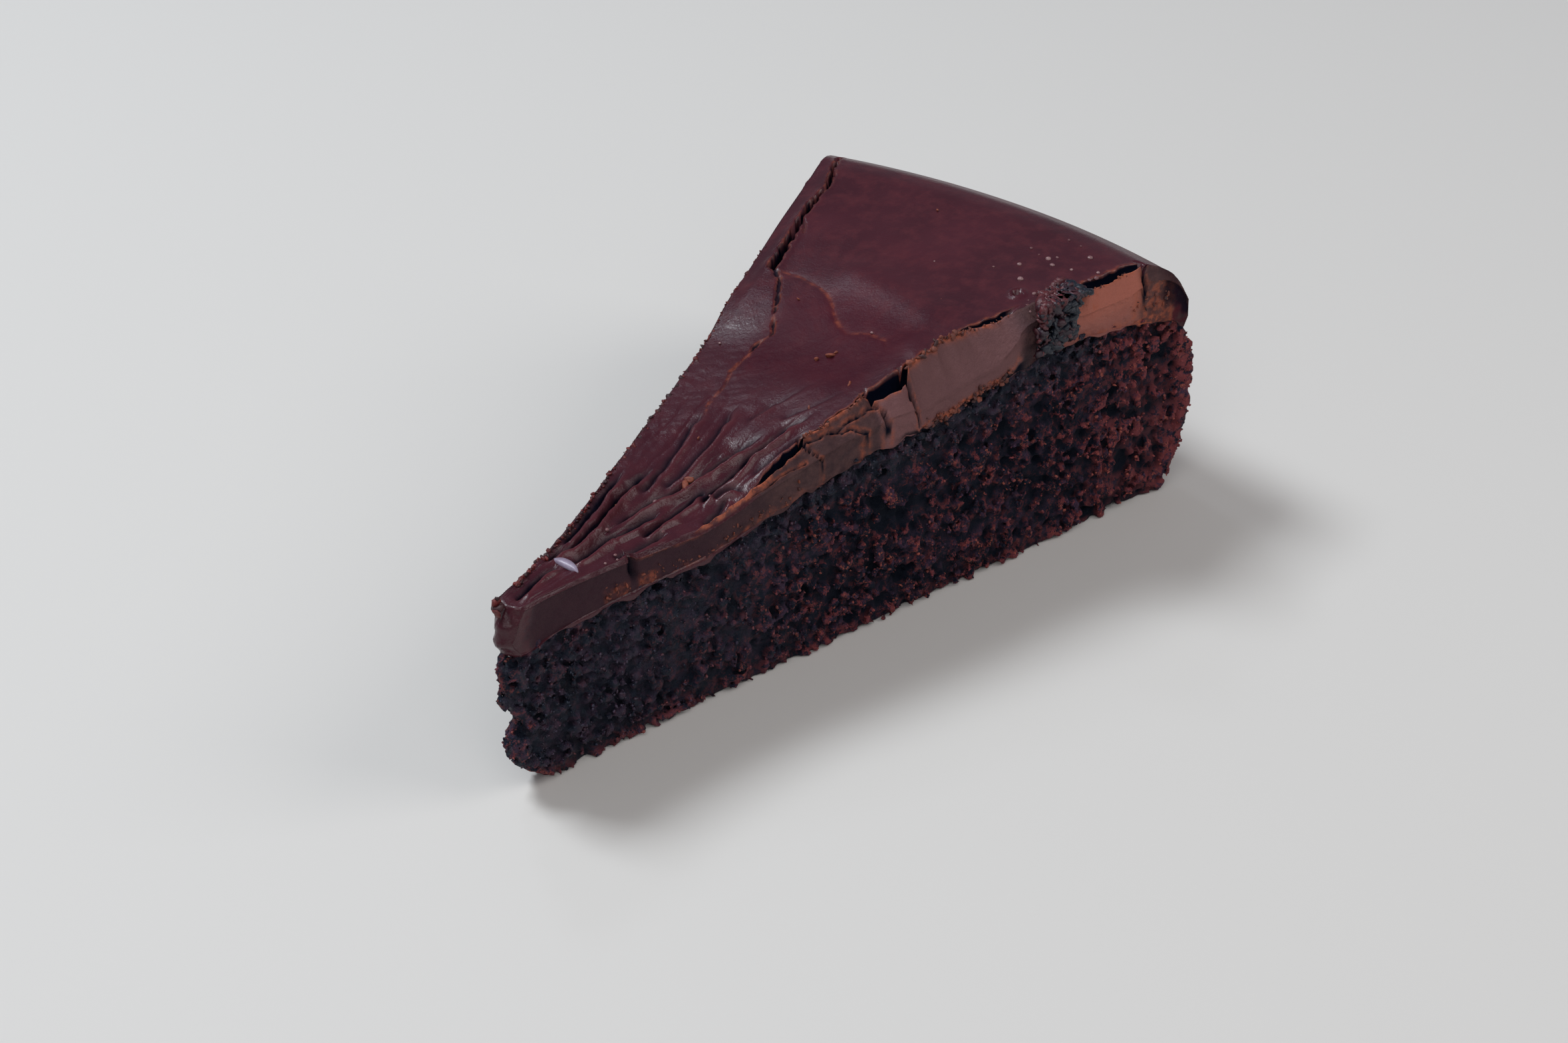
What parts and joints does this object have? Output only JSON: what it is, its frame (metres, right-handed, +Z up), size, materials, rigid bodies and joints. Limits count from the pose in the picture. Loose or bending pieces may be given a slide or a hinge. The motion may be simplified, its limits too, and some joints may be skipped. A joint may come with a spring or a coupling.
{
  "type": "slice of chocolate cake",
  "caption": "Wedge of chocolate cake with a moist dark sponge and a cracked, wrinkled chocolate icing that has sunk towards the point.",
  "frame": {"origin": "middle of the slice's flat underside, at the centre of its box", "axes": "+Z up, +X from the slice's point to its outer side, -Y towards the cut face with the torn icing"},
  "size_m": [0.1218, 0.0628, 0.0413],
  "materials": {
    "chocolate_sponge": "matte, moist open crumb",
    "chocolate_icing": "semi-gloss set chocolate skin, matte where it is cut"
  },
  "bodies": {
    "root": {"sponge": "chocolate_sponge", "icing": "chocolate_icing"}
  },
  "joints": []
}
